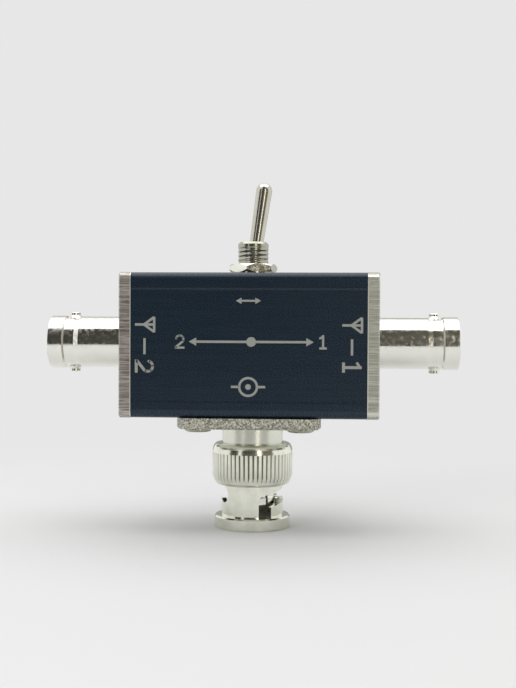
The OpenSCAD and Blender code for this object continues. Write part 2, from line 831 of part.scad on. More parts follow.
// Room outside the knurls, to be cut from the plain grip and the bevel under it
module knurl_cutter() {
  grip_r = grip_d / 2;
  pitch = 360 / knurl_count;
  half = knurl_groove / 2 / grip_r * 180 / PI;
  outer_r = grip_r + fit_gap;
  linear_extrude(grip_l + grip_bevel_h) for (i = [0 : knurl_count - 1]) {
    polygon([
      [outer_r * cos(i * pitch - half), outer_r * sin(i * pitch - half)],
      [(grip_r - knurl_depth) * cos(i * pitch), (grip_r - knurl_depth) * sin(i * pitch)],
      [outer_r * cos(i * pitch + half), outer_r * sin(i * pitch + half)]
    ]);
  }
}

module coupling_nut() {
  bore_r = sleeve_bore_d / 2;
  grip_r = grip_d / 2;
  top_r = nut_top_d / 2;
  cavity_r = cavity_d / 2;
  grip_top = grip_z + grip_l;
  shoulder = [
    for (i = [0 : shoulder_steps])
      let (a = 90 * i / shoulder_steps)
        [top_r + (grip_r - top_r) * cos(a), grip_top + (nut_h - grip_top) * sin(a)]
  ];
  bevel_r = grip_r - grip_bevel;
  bevel_z = grip_z - grip_bevel_h;
  foot_r = sleeve_d / 2 + grip_foot;
  foot = [
    for (i = [0 : foot_steps])
      let (a = 90 * (1 - i / foot_steps))
        [foot_r + (bevel_r - foot_r) * cos(a), bevel_z - grip_foot_h * sin(a)]
  ];
  lower = [
    [bore_r + throat, 0], [lip_d / 2 - lip_bevel, 0], [lip_d / 2, lip_bevel],
    [lip_d / 2, lip_h - lip_bevel], [lip_d / 2 - lip_bevel, lip_h],
    [sleeve_d / 2, lip_h], [sleeve_d / 2, bevel_z - grip_foot_h]
  ];
  inner = [
    [cavity_r, nut_h], [cavity_r, step_z], [bore_r, step_z], [bore_r, throat]
  ];
  color("#c9c8c2") difference() {
    turned(concat(lower, foot, shoulder, inner));
    for (turn = [0, 180]) {
      rotate([0, 0, turn + slot_entry - 90]) bayonet_slot();
    }
    translate([0, 0, bevel_z]) knurl_cutter();
  }
}

module nut_retainer() {
  color("#b5b2a8") ring(cavity_d / 2 - fit_gap, spring_in_r, web_z, nut_h);
}

module slip_washer() {
  color("#a9a9a4") ring(spring_out_r, spring_in_r, slip_z, web_z);
}

module wave_spring() {
  low = collar_top + fit_gap;
  high = slip_z - fit_gap - wave_t;
  rings = [
    for (i = [0 : wave_rings - 1])
      let (
        a = i * 360 / wave_rings,
        z = low + (high - low) * (1 - cos(wave_count * a)) / 2,
        inner = spring_in_r + fit_gap,
        outer = spring_out_r - fit_gap
      )
        [for (q = [[inner, 0], [outer, 0], [outer, wave_t], [inner, wave_t]]) [q[0] * cos(a), q[0] * sin(a), z + q[1]]]
  ];
  color("#9b9a94") swept(rings, true);
}

// ---- Toggle switch ----

module toggle_bushing() {
  seat_r = ball_d / 2 + seat_gap_ball;
  thread_r = bushing_d / 2;
  mouth = bushing_top - bushing_lead;
  slope_r = seat_r * (1 + seat_gap_ball) / cos(atan2(seat_r - bushing_throat_r, seat_rise));
  foot_bore_r = tail_d / 2 / cos(lever_lean) + (pivot_z - case_top) * tan(lever_lean) + run_gap;
  color("#c4c1b4") turned([
    [max(foot_bore_r, slope_r), case_top], [bushing_foot_r, case_top], [bushing_foot_r, frame_top],
    [thread_r, frame_top], [thread_r, mouth], [thread_r - bushing_lead, bushing_top],
    [bushing_mouth_r, bushing_top], [bushing_throat_r, pivot_z + seat_rise], [slope_r, pivot_z]
  ]);
}

module toggle_nut() {
  color("#bdbaa9") translate([0, 0, tube_top + toggle_washer_t]) rotate([0, 0, toggle_nut_turn]) {
    hexagon(toggle_nut_af, toggle_nut_t, bushing_d / 2 + fit_gap);
  }
}

module toggle_washer() {
  color("#d4d1c6") ring(toggle_washer_d / 2, bushing_d / 2 + fit_gap, tube_top, tube_top + toggle_washer_t);
}

module toggle_lock_washer() {
  color("#a9a9a4") translate([0, 0, frame_top]) {
    lock_washer(bushing_d / 2 + lock_washer_rim, bushing_d / 2 + fit_gap);
  }
}

module toggle_lever() {
  base_r = lever_base_d / 2;
  tip_r = lever_tip_d / 2;
  color("#cdccc6") at_lever() difference() {
    union() {
      sphere(d = ball_d);
      cylinder(r = base_r, h = pivot_drop + fit_gap);
      translate([0, 0, pivot_drop]) cylinder(r1 = base_r, r2 = tip_r, h = lever_l - pivot_drop);
      translate([0, 0, lever_l]) sphere(r = tip_r);
      translate([0, 0, -tail_l]) cylinder(d = tail_d, h = tail_l);
    }
    translate([0, 0, -tail_l - past]) cylinder(r = tail_hole_r, h = tail_l - tail_hole_top + past);
  }
}

module toggle_plunger() {
  color("#e8e4d8") at_lever() {
    translate([0, 0, -plunger_tip]) sphere(d = plunger_d);
    translate([0, 0, -plunger_tip]) cylinder(d = plunger_d, h = plunger_tip - plunger_top);
  }
}

module plunger_spring() {
  wire_r = spring_wire_d / 2;
  bottom = -plunger_top + wire_r + fit_gap;
  climb = -tail_hole_top - wire_r - fit_gap - bottom;
  steps = spring_turns * spring_rings;
  pitch = climb / spring_turns;
  echo("least gap between the plunger spring's curls", pitch - spring_wire_d);
  rings = [
    for (i = [0 : steps])
      let (a = 360 * i / spring_rings, z = bottom + climb * i / steps)
        [
          for (j = [0 : spring_sides - 1])
            let (b = 360 * j / spring_sides, r = spring_mean_r + wire_r * cos(b))
              [r * cos(a), r * sin(a), z + wire_r * sin(b)]
        ]
  ];
  color("#9b9a94") at_lever() swept(rings, false);
}

module toggle_frame() {
  leg_x = case_l / 2 + fit_gap;
  color("#bfbdb5") difference() {
    union() {
      translate([-leg_x - frame_leg_t, -case_w / 2, case_top]) cube([2 * (leg_x + frame_leg_t), case_w, frame_t]);
      for (side = [-1, 1]) {
        translate([side * (leg_x + frame_leg_t / 2), 0, frame_top - (frame_leg_l + frame_t) / 2]) {
          cube([frame_leg_t, case_w - 2 * case_wall, frame_leg_l + frame_t], center = true);
        }
      }
    }
    translate([0, 0, case_top - past]) cylinder(r = bushing_foot_r + fit_gap, h = frame_t + 2 * past);
  }
}

module toggle_case() {
  room_h = case_h - case_floor;
  color("#2f5f9e") difference() {
    translate([-case_l / 2, -case_w / 2, case_z]) cube([case_l, case_w, case_h - fit_gap]);
    translate([0, 0, case_z + case_floor + room_h / 2 + past / 2]) {
      cube([case_l - 2 * case_wall, case_w - 2 * case_wall, room_h + past], center = true);
    }
    for (i = [-1, 0, 1]) {
      translate([i * terminal_pitch, 0, case_z]) {
        cube([terminal_t + 2 * fit_gap, terminal_w + 2 * fit_gap, 4 * case_floor], center = true);
      }
    }
  }
}

module toggle_rocker() {
  half_l = rocker_l / 2;
  color("#c9a24e") translate([0, 0, rocker_z]) rotate([0, -rocker_tilt, 0]) {
    translate([-half_l, -rocker_w / 2, rocker_lift]) cube([rocker_l, rocker_w, rocker_t]);
    for (side = [-1, 1]) {
      translate([side * dome_x, 0, rocker_lift - dome_h]) cylinder(d = dome_d, h = dome_h + rocker_t / 2);
      translate([0, side * (rocker_w / 2 + rocker_ear / 2), rocker_lift + rocker_t - rocker_ear_h / 2]) {
        cube([rocker_ear_l, rocker_ear + fit_gap, rocker_ear_h], center = true);
      }
    }
  }
}

// Flat terminal through the case's floor, with an eye for its wire
module terminal(x, top) {
  color("#d8d6cc") difference() {
    translate([x - terminal_t / 2, -terminal_w / 2, terminal_z + terminal_w / 2]) {
      cube([terminal_t, terminal_w, top - terminal_z - terminal_w / 2]);
    }
    translate([x, 0, terminal_eye_z]) rotate([0, 90, 0]) cylinder(d = eye_d, h = terminal_t + past, center = true);
  }
  color("#d8d6cc") difference() {
    translate([x, 0, terminal_z + terminal_w / 2]) rotate([0, 90, 0]) {
      cylinder(d = terminal_w, h = terminal_t, center = true);
    }
    translate([x, 0, terminal_eye_z]) rotate([0, 90, 0]) cylinder(d = eye_d, h = terminal_t + past, center = true);
  }
}

// ---- Wires ----

module wire_to_jack(side) {
  cup_x = face_x + stem_s - cup_l;
  color("#c47a45") on_side(side) wire_path([
    [cup_x + cup_hole_depth / 2, 0, jack_z],
    [cup_x - wire_reach, 0, jack_z],
    [terminal_pitch + terminal_t / 2 + wire_lead, 0, terminal_eye_z],
    [terminal_pitch - eye_past, 0, terminal_eye_z]
  ]);
}

module wire_common() {
  bend_x = terminal_t / 2 + wire_side;
  color("#c47a45") wire_path([
    [0, 0, (boss_top + plug_cup_floor + plug_cup_top) / 2],
    [0, 0, plug_cup_top + wire_free / 8],
    [bend_x, 0, plug_cup_top + wire_free / 2],
    [bend_x, 0, terminal_eye_z],
    [-eye_past, 0, terminal_eye_z]
  ]);
}

housing();
end_plate(-1);  // end_plate_left
end_plate(1);  // end_plate_right
end_screws(-1);  // end_screws_left
end_screws(1);  // end_screws_right
jack_body(-1);  // jack_body_left
jack_body(1);  // jack_body_right
jack_insulator(-1);  // jack_insulator_left
jack_insulator(1);  // jack_insulator_right
jack_contact(-1);  // jack_contact_left
jack_contact(1);  // jack_contact_right
jack_washer(-1);  // jack_washer_left
jack_washer(1);  // jack_washer_right
jack_nut(-1);  // jack_nut_left
jack_nut(1);  // jack_nut_right
plug_body();
flange_screws();
plug_shell();
plug_ferrule();
plug_gasket();
plug_insulator();
plug_pin();
coupling_nut();
nut_retainer();
slip_washer();
wave_spring();
toggle_bushing();
toggle_nut();
toggle_washer();
toggle_lock_washer();
toggle_lever();
toggle_plunger();
plunger_spring();
toggle_frame();
toggle_case();
toggle_rocker();
terminal(-terminal_pitch, throw_top);  // terminal_left
terminal(terminal_pitch, throw_top);  // terminal_right
terminal(0, fulcrum_top);  // terminal_common
wire_to_jack(-1);  // wire_left
wire_to_jack(1);  // wire_right
wire_common();
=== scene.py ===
import json
import math

import bmesh
import bpy
from mathutils import Matrix, Vector


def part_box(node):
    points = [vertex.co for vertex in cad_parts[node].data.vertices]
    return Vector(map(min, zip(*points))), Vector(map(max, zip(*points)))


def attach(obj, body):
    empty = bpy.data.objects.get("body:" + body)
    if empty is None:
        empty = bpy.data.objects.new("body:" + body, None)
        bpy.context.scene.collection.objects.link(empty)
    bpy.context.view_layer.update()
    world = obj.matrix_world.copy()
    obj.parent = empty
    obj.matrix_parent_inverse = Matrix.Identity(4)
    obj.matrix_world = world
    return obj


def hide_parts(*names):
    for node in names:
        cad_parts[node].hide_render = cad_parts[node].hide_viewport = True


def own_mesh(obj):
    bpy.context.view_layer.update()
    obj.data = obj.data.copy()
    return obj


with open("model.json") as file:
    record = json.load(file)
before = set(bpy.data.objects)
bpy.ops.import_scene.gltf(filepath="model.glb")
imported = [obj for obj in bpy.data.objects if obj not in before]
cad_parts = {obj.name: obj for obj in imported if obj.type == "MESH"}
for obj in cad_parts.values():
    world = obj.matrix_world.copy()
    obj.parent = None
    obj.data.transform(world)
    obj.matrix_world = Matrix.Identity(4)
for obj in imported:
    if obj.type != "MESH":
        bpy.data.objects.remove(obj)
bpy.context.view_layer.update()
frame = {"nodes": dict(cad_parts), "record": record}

# Two-way coaxial antenna switch. Metres, in the shared frame: the origin is the centre of the
# plug's mouth, +X points to jack 1 and the labelled face looks towards -Y.

MM = 0.001


def in_mm(node):
    """(lowest corner, highest corner) of a CAD node, in millimetres."""
    low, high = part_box(node)
    return Vector(low) / MM, Vector(high) / MM


# Every size below is in millimetres unless a comment says otherwise.
TUBE_LOW, TUBE_HIGH = in_mm("housing")
PLATE_LOW, PLATE_HIGH = in_mm("end_plate_right")
PLATE_MID_Z = (PLATE_LOW[2] + PLATE_HIGH[2]) / 2

# Distance of the fine upper groove from the tube's top, and height of the flange's screw heads
GROOVE_INSET = 2.95
SCREW_HEAD_H = 0.6
UPPER_GROOVE_Z = TUBE_HIGH[2] - GROOVE_INSET
FLANGE_EDGE_Z = in_mm("flange_screws")[0][2] + SCREW_HEAD_H

# Knurled grip of the coupling nut: foot and end of its bevel, its top, and the grooves in it
GRIP_R = -in_mm("coupling_nut")[0][0]
GRIP_FOOT_Z, GRIP_LINE_Z, GRIP_TOP_Z = 8.85, 9.7, 13.9
GRIP_BEVEL = 0.35
KNURL_COUNT = 55
KNURL_GROOVE = 0.44
KNURL_DEPTH = 0.26


# ---------------------------------------------------------------- node helpers

class Graph:
    """Builds a node tree with short calls."""

    def __init__(self, tree):
        self.tree = tree

    def add(self, kind, **settings):
        node = self.tree.nodes.new(kind)
        for key, value in settings.items():
            setattr(node, key, value)
        return node

    def link(self, source, target):
        self.tree.links.new(source, target)

    def feed(self, socket, value):
        """Links an output to a socket, or sets the socket to a plain value."""
        if isinstance(value, bpy.types.NodeSocket):
            self.link(value, socket)
        else:
            socket.default_value = value

    def math(self, operation, a, b=0.0):
        node = self.add("ShaderNodeMath", operation=operation)
        self.feed(node.inputs[0], a)
        self.feed(node.inputs[1], b)
        return node.outputs[0]

    def place(self):
        """The piece's own coordinates in millimetres, which move with it."""
        coords = self.add("ShaderNodeTexCoord").outputs["Object"]
        scaled = self.add("ShaderNodeVectorMath", operation="SCALE")
        self.link(coords, scaled.inputs[0])
        scaled.inputs["Scale"].default_value = 1 / MM
        return scaled.outputs[0]

    def stretch(self, vector, factors):
        """Coordinates multiplied axis by axis; a small factor makes long streaks that way."""
        node = self.add("ShaderNodeVectorMath", operation="MULTIPLY")
        self.link(vector, node.inputs[0])
        node.inputs[1].default_value = factors
        return node.outputs[0]

    def noise(self, vector, scale, detail=3.0, roughness=0.55):
        node = self.add("ShaderNodeTexNoise")
        self.link(vector, node.inputs["Vector"])
        node.inputs["Scale"].default_value = scale
        node.inputs["Detail"].default_value = detail
        node.inputs["Roughness"].default_value = roughness
        return node.outputs["Fac"]

    def span(self, value, low, high, to_low, to_high):
        """The value carried from low..high to to_low..to_high, and held at the ends."""
        node = self.add("ShaderNodeMapRange")
        self.feed(node.inputs["Value"], value)
        limits = {"From Min": low, "From Max": high, "To Min": to_low, "To Max": to_high}
        for name, number in limits.items():
            node.inputs[name].default_value = number
        return node.outputs["Result"]

    def blend(self, factor, a, b):
        """Colour between a and b."""
        node = self.add("ShaderNodeMix", data_type="RGBA")
        self.feed(node.inputs["Factor"], factor)
        for name, colour in (("A", a), ("B", b)):
            socket = next(s for s in node.inputs if s.name == name and s.type == "RGBA")
            is_linked = isinstance(colour, bpy.types.NodeSocket)
            self.feed(socket, colour if is_linked else (*colour, 1.0))
        return next(s for s in node.outputs if s.type == "RGBA")

    def ramp(self, value, low, high, a, b, share=1.0):
        """Colour a where the value is low, turning into b by the given share where it is high."""
        return self.blend(self.span(value, low, high, 0.0, share), a, b)

    def mix_numbers(self, factor, a, b):
        node = self.add("ShaderNodeMix", data_type="FLOAT")
        for name, value in (("Factor", factor), ("A", a), ("B", b)):
            self.feed(node.inputs[name], value)
        return node.outputs["Result"]

    def split(self, vector):
        node = self.add("ShaderNodeSeparateXYZ")
        self.link(vector, node.inputs[0])
        return node.outputs

    def bump(self, height, strength, depth_mm, below=None):
        node = self.add("ShaderNodeBump")
        self.link(height, node.inputs["Height"])
        self.feed(node.inputs["Strength"], strength)
        node.inputs["Distance"].default_value = depth_mm * MM
        if below is not None:
            self.link(below, node.inputs["Normal"])
        return node.outputs["Normal"]


def srgb(r, g, b):
    """Linear colour of an sRGB colour given as 0 to 255."""
    def linear(v):
        v /= 255
        return v / 12.92 if v <= 0.04045 else ((v + 0.055) / 1.055) ** 2.4
    return tuple(linear(v) for v in (r, g, b))


def new_material(name):
    made = bpy.data.materials.new(name)
    made.use_nodes = True
    graph = Graph(made.node_tree)
    return made, graph, made.node_tree.nodes["Principled BSDF"]


def metal(name, colour, rough, mottle=0.0, mottle_mm=0.0, dull=0.85, patchy=0.0):
    """Plated or plain metal: stains dulled to the share dull, uneven gloss, patches rougher by
    patchy, and a ripple of strength mottle and depth mottle_mm in the surface."""
    made, g, shader = new_material(name)
    place = g.place()
    stain = g.noise(place, 0.35, 4.0)
    fine = g.noise(place, 7.0, 2.0)
    patch = g.span(g.noise(place, 1.5, 3.0), 0.42, 0.62, 0.0, patchy)
    stained = tuple(dull * c for c in colour)
    g.link(g.ramp(stain, 0.35, 0.7, colour, stained), shader.inputs["Base Color"])
    gloss = g.span(fine, 0.3, 0.7, rough * 0.8, rough * 1.3)
    g.link(g.math("ADD", gloss, patch), shader.inputs["Roughness"])
    shader.inputs["Metallic"].default_value = 1.0
    if mottle:
        ripple = g.noise(place, 1.1, 2.0)
        g.link(g.bump(ripple, mottle, mottle_mm), shader.inputs["Normal"])
    return made


def anodised_material(groove_z):
    """Dark anodised aluminium: faint extrusion streaks along X under a fine blasted grain, and a
    painted highlight along the upper groove: a paler line where its edge would catch the light."""
    made, g, shader = new_material("anodised")
    place = g.place()
    streaks = g.noise(g.stretch(place, (0.03, 1.0, 1.0)), 2.2, 5.0)
    grain = g.noise(place, 5.0, 3.0, 0.7)
    cloud = g.noise(place, 0.12, 3.0)
    deep, lift = srgb(19, 31, 41), srgb(28, 41, 52)
    tone = g.ramp(streaks, 0.3, 0.7, deep, lift)
    tone = g.ramp(cloud, 0.35, 0.65, tone, srgb(27, 37, 45), share=0.35)
    # Painted highlight: a pale line along the upper groove, standing in for the light its edge
    # catches
    off_highlight_line = g.math("ABSOLUTE", g.math("SUBTRACT", g.split(place)[2], groove_z))
    tone = g.blend(g.span(off_highlight_line, 0.08, 0.22, 0.7, 0.0), tone, srgb(62, 72, 80))
    g.link(tone, shader.inputs["Base Color"])
    g.link(g.span(grain, 0.3, 0.7, 0.2, 0.33), shader.inputs["Roughness"])
    g.link(g.span(grain, 0.35, 0.65, 0.28, 0.58), shader.inputs["Specular IOR Level"])
    shader.inputs["Specular Tint"].default_value = (*srgb(222, 234, 255), 1.0)
    rough = g.bump(grain, 0.9, 0.03)
    g.link(g.bump(streaks, 0.12, 0.02, rough), shader.inputs["Normal"])
    return made


# Distances from the plates' upper and lower ends: where their edges start to roll over, and where
# the polish and its painted highlight start and are full
CORNER_ROLL = 1.4
POLISH_HIGHLIGHT_START, POLISH_HIGHLIGHT_FULL = 1.7, 1.1
# Where the pale line beside the tube fades out, measured from the tube's end
INNER_EDGE = (0.1, 0.2)

# How far a normal has to lean along X, or along Z, for its face to count as facing that way
FACES_SIDEWAYS = 0.9
FACES_UP = 0.8


def plate_material(inner_x, mid_z, half_height):
    """Bare aluminium plates, the left one browner than the right: their edges are cut across the
    thickness and polished at the corners with a painted highlight, their faces brushed upright."""
    made, g, shader = new_material("plate")
    place = g.place()
    cuts = g.noise(g.stretch(place, (0.05, 0.3, 1.0)), 3.4, 6.0, 0.75)
    brushed = g.noise(g.stretch(place, (1.0, 1.0, 0.02)), 7.0, 4.0, 0.65)
    broad = g.noise(g.stretch(place, (0.05, 1.0, 1.0)), 0.55, 2.0)
    normal = g.split(g.add("ShaderNodeNewGeometry").outputs["True Normal"])
    on_face = g.math("GREATER_THAN", g.math("ABSOLUTE", normal[0]), FACES_SIDEWAYS)
    height = g.mix_numbers(on_face, cuts, brushed)
    where = g.split(place)
    side = g.math("GREATER_THAN", where[0], 0.0)
    light = g.blend(side, srgb(204, 194, 188), srgb(212, 213, 200))
    dark = g.blend(side, srgb(104, 94, 90), srgb(158, 158, 146))
    cut_tone = g.span(height, 0.42, 0.58, 0.0, 1.0)
    face_tone = g.span(height, 0.25, 0.75, 0.45, 0.95)
    tone = g.blend(g.mix_numbers(on_face, cut_tone, face_tone), dark, light)
    tone = g.blend(g.math("MULTIPLY", on_face, 0.45), tone, srgb(196, 195, 186))
    tone = g.ramp(broad, 0.35, 0.65, tone, srgb(168, 164, 154), share=0.3)
    from_mid = g.math("ABSOLUTE", g.math("SUBTRACT", where[2], mid_z))
    # Painted highlight at the corners, weaker on the left plate: a pale tone for the light their
    # rounding catches, beside a lower roughness
    corner = g.span(from_mid, half_height - POLISH_HIGHLIGHT_START, half_height - POLISH_HIGHLIGHT_FULL, 0.0, 1.0)
    on_edge = g.math("MULTIPLY", g.math("SUBTRACT", 1.0, on_face), g.span(side, 0.0, 1.0, 0.3, 1.0))
    corner = g.math("MULTIPLY", corner, on_edge)
    past = g.math("MAXIMUM", g.math("SUBTRACT", from_mid, half_height - CORNER_ROLL), 0.0)
    rolled = g.math("MULTIPLY", g.math("MULTIPLY", past, past), -0.5 / CORNER_ROLL)
    rolled = g.math("MULTIPLY", rolled, on_edge)
    inner_from, inner_to = (inner_x + step for step in INNER_EDGE)
    inner = g.span(g.math("ABSOLUTE", where[0]), inner_from, inner_to, 1.0, 0.0)
    # Pale tone: the painted corner highlight, and the pale line beside the tube
    pale = g.math("MAXIMUM", g.math("MULTIPLY", corner, 0.7), inner)
    tone = g.blend(pale, tone, srgb(226, 224, 214))
    g.link(tone, shader.inputs["Base Color"])
    gloss = g.span(height, 0.3, 0.7, 0.42, 0.3)
    g.link(g.mix_numbers(corner, gloss, 0.22), shader.inputs["Roughness"])
    shader.inputs["Metallic"].default_value = 0.6
    fine = g.bump(height, g.span(corner, 0.0, 1.0, 0.6, 0.15), 0.03)
    g.link(g.bump(rolled, 1.0, 1.0, fine), shader.inputs["Normal"])
    return made


def flange_material(edge_z):
    """Nickel over a rough cast flange, turned smooth on the neck below it."""
    made, g, shader = new_material("flange_nickel")
    place = g.place()
    on_flange = g.math("GREATER_THAN", g.split(place)[2], edge_z)
    normal = g.split(g.add("ShaderNodeNewGeometry").outputs["True Normal"])
    upright = g.math("LESS_THAN", g.math("ABSOLUTE", normal[2]), FACES_UP)
    cast = g.math("MULTIPLY", on_flange, upright)
    lumps = g.noise(place, 3.2, 3.0, 0.7)
    pits = g.noise(place, 7.0, 2.0)
    height = g.math("ADD", lumps, g.math("MULTIPLY", pits, 0.5))
    light, dark = srgb(232, 232, 218), srgb(116, 114, 100)
    rough_tone = g.ramp(height, 0.64, 0.86, dark, light)
    tone = g.blend(cast, srgb(228, 229, 218), rough_tone)
    g.link(tone, shader.inputs["Base Color"])
    g.link(g.span(cast, 0.0, 1.0, 0.27, 0.36), shader.inputs["Roughness"])
    shader.inputs["Metallic"].default_value = 0.9
    g.link(g.bump(height, g.span(cast, 0.0, 1.0, 0.03, 1.0), 0.14), shader.inputs["Normal"])
    return made


def nut_material(grip_r):
    """Satin nickel of the coupling nut, with painted shade at the bottom of the grooves between its
    knurls.
    """
    made, g, shader = new_material("nut_nickel")
    place = g.place()
    where = g.split(place)
    stain = g.noise(place, 0.5, 4.0)
    tone = g.ramp(stain, 0.35, 0.7, srgb(238, 239, 226), srgb(222, 223, 209))
    # Painted shade: the bottom of the grooves between the knurls is darkened, where their walls
    # shade each other
    squares = [g.math("MULTIPLY", where[axis], where[axis]) for axis in (0, 1)]
    out = g.math("SQRT", g.math("ADD", *squares))
    crest = g.span(where[2], GRIP_FOOT_Z, GRIP_LINE_Z, grip_r - GRIP_BEVEL, grip_r)
    deep = g.span(g.math("SUBTRACT", crest, out), 0.02, 0.2, 0.0, 1.0)
    above_foot = g.math("GREATER_THAN", where[2], GRIP_FOOT_Z)
    in_grip = g.math("MULTIPLY", above_foot, g.math("LESS_THAN", where[2], GRIP_TOP_Z))
    groove = g.math("MULTIPLY", deep, in_grip)
    g.link(g.blend(groove, tone, srgb(150, 148, 134)), shader.inputs["Base Color"])
    g.link(g.span(g.noise(place, 6.0, 2.0), 0.3, 0.7, 0.12, 0.2), shader.inputs["Roughness"])
    shader.inputs["Metallic"].default_value = 1.0
    g.link(g.bump(g.noise(place, 1.1, 2.0), 0.1, 0.03), shader.inputs["Normal"])
    return made


def plain_material(name, colour, rough, vary=0.1, scale=1.5):
    """Plastic, rubber, PTFE or paint: darker by up to the share vary in patches, whose size falls
    as scale grows."""
    made, g, shader = new_material(name)
    place = g.place()
    drift = g.noise(place, scale, 3.0)
    darker = tuple(c * (1 - vary) for c in colour)
    g.link(g.ramp(drift, 0.35, 0.65, colour, darker), shader.inputs["Base Color"])
    g.link(g.span(drift, 0.3, 0.7, rough * 0.85, rough * 1.15), shader.inputs["Roughness"])
    g.link(g.bump(g.noise(place, 12.0, 2.0), 0.1, 0.01), shader.inputs["Normal"])
    return made


MATERIALS = {
    "anodised": anodised_material(UPPER_GROOVE_Z),
    "plate": plate_material(TUBE_HIGH[0], PLATE_MID_Z, PLATE_HIGH[2] - PLATE_MID_Z),
    "nickel": metal("nickel", srgb(240, 239, 231), 0.09, 0.12, 0.03, 0.94, patchy=0.14),
    "flange_nickel": flange_material(FLANGE_EDGE_Z),
    "steel": metal("steel", srgb(184, 181, 167), 0.12, 0.1, 0.03),
    "screw_black": metal("screw_black", srgb(70, 70, 72), 0.35),
    "gold": metal("gold", srgb(226, 188, 108), 0.22),
    "ptfe": plain_material("ptfe", srgb(240, 239, 233), 0.4, 0.04),
    "gasket": plain_material("gasket", srgb(58, 52, 48), 0.6),
    "case_blue": plain_material("case_blue", srgb(40, 88, 150), 0.35),
    "plunger_plastic": plain_material("plunger_plastic", srgb(232, 228, 214), 0.35, 0.05),
    "copper": metal("copper", srgb(205, 130, 88), 0.25),
}
MARKING = plain_material("marking", srgb(150, 152, 146), 0.55, 0.12, 6.0)
NUT_NICKEL = nut_material(GRIP_R)
BUSHING_STEEL = metal("bushing_steel", srgb(182, 180, 167), 0.22, 0.1, 0.03)
LEVER_STEEL = metal("lever_steel", srgb(206, 203, 192), 0.18, 0.15, 0.03)
OWN_MATERIAL = {"coupling_nut": NUT_NICKEL, "toggle_lever": LEVER_STEEL}

for part in frame["record"]["subparts"]:
    slots = frame["nodes"][part["node"]].data.materials
    slots.clear()
    slots.append(OWN_MATERIAL.get(part["node"], MATERIALS[part["material_slot"]]))


# ---------------------------------------------------------------- shapes

def add_object(name, data):
    made = bpy.data.objects.new(name, data)
    bpy.context.scene.collection.objects.link(made)
    return made


def new_piece(name, mesh, body, material):
    piece = add_object(name, mesh)
    mesh.materials.append(material)
    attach(piece, body)
    return piece


def closed_mesh(name, work):
    """Mesh of a closed bmesh, which it frees, with every face turned outwards."""
    bmesh.ops.recalc_face_normals(work, faces=work.faces)
    mesh = bpy.data.meshes.new(name)
    work.to_mesh(mesh)
    work.free()
    return mesh


def turns_round(steps):
    """Angles in radians of equal steps round a circle."""
    return [math.tau * i / steps for i in range(steps)]


# Threaded bushing: one turned skin whose outside carries a helical thread
BUSHING_LOW, BUSHING_HIGH = in_mm("toggle_bushing")
BUSHING_R = (BUSHING_HIGH[0] - BUSHING_LOW[0]) / 2
THREAD_PITCH = 0.79
THREAD_DEPTH = 0.12
THREAD_ROWS = 150
TURN_STEPS = 96
# Bevel of the rim, and depth of the plain band at the top, under which the thread fades in
TOP_BEVEL = 0.4
TOP_BAND = 0.75
# Where the narrower foot in the switch frame ends, and how much narrower it is
FOOT_Z = BUSHING_LOW[2] + 0.8
FOOT_STEP = 0.25
# Bore: (radius, distance below the top), and its radius at the foot
BORE = ((1.998, 0.0), (1.642, 2.5), (2.094, 4.2))
FOOT_BORE_R = 2.11


def thread_radius(z, turn):
    """Outside radius of the rounded thread at a height and a turn in radians."""
    phase = z / THREAD_PITCH - turn / math.tau
    below_top = BUSHING_HIGH[2] - z
    fade = min(1.0, max(0.0, (below_top - TOP_BAND) / THREAD_PITCH))
    cut = THREAD_DEPTH * fade * (0.5 - 0.5 * math.cos(math.tau * phase))
    return min(BUSHING_R - cut, BUSHING_R - TOP_BEVEL + below_top)


def ring_mesh(name, rings, sharp_deg):
    """Closed skin through rings of (radius, turn, z) points, each ring joined to the next and the
    last to the first. Edges sharper than sharp_deg stay sharp."""
    work = bmesh.new()
    verts = [[work.verts.new((radius * math.cos(turn) * MM, radius * math.sin(turn) * MM, z * MM))
              for radius, turn, z in ring] for ring in rings]
    for i, here in enumerate(verts):
        there = verts[(i + 1) % len(verts)]
        for j in range(len(here)):
            k = (j + 1) % len(here)
            work.faces.new((here[j], here[k], there[k], there[j]))
    mesh = closed_mesh(name, work)
    for face in mesh.polygons:
        face.use_smooth = True
    mesh.set_sharp_from_angle(angle=math.radians(sharp_deg))
    return mesh


def threaded_bushing():
    """The bushing with its thread, in place of the plain one."""
    low, high = BUSHING_LOW[2], BUSHING_HIGH[2]
    rows = [FOOT_Z + (high - FOOT_Z) * i / THREAD_ROWS for i in range(THREAD_ROWS + 1)]
    inside = [(radius, high - drop) for radius, drop in BORE] + [(FOOT_BORE_R, low)]
    turns = turns_round(TURN_STEPS)
    foot_r = BUSHING_R - FOOT_STEP
    rings = [[(foot_r, turn, z) for turn in turns] for z in (low, FOOT_Z)]
    rings += [[(thread_radius(z, turn), turn, z) for turn in turns] for z in rows]
    rings += [[(radius, turn, z) for turn in turns] for radius, z in inside]
    mesh = ring_mesh("bushing_thread", rings, 40)
    piece = new_piece("bushing_thread", mesh, "switch_box", BUSHING_STEEL)
    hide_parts("toggle_bushing")


threaded_bushing()

# Knurls of the coupling nut at full height down to their bevel: a band over the CAD's grip, which
# narrows towards its foot. The band's inner face lies inside the grip.
BAND_TOP_Z = 13.75
BAND_FOOT_Z = GRIP_FOOT_Z + 0.02
BAND_PROUD = 0.003
BAND_IN_R = GRIP_R - 0.45
CREST_STEPS = 3


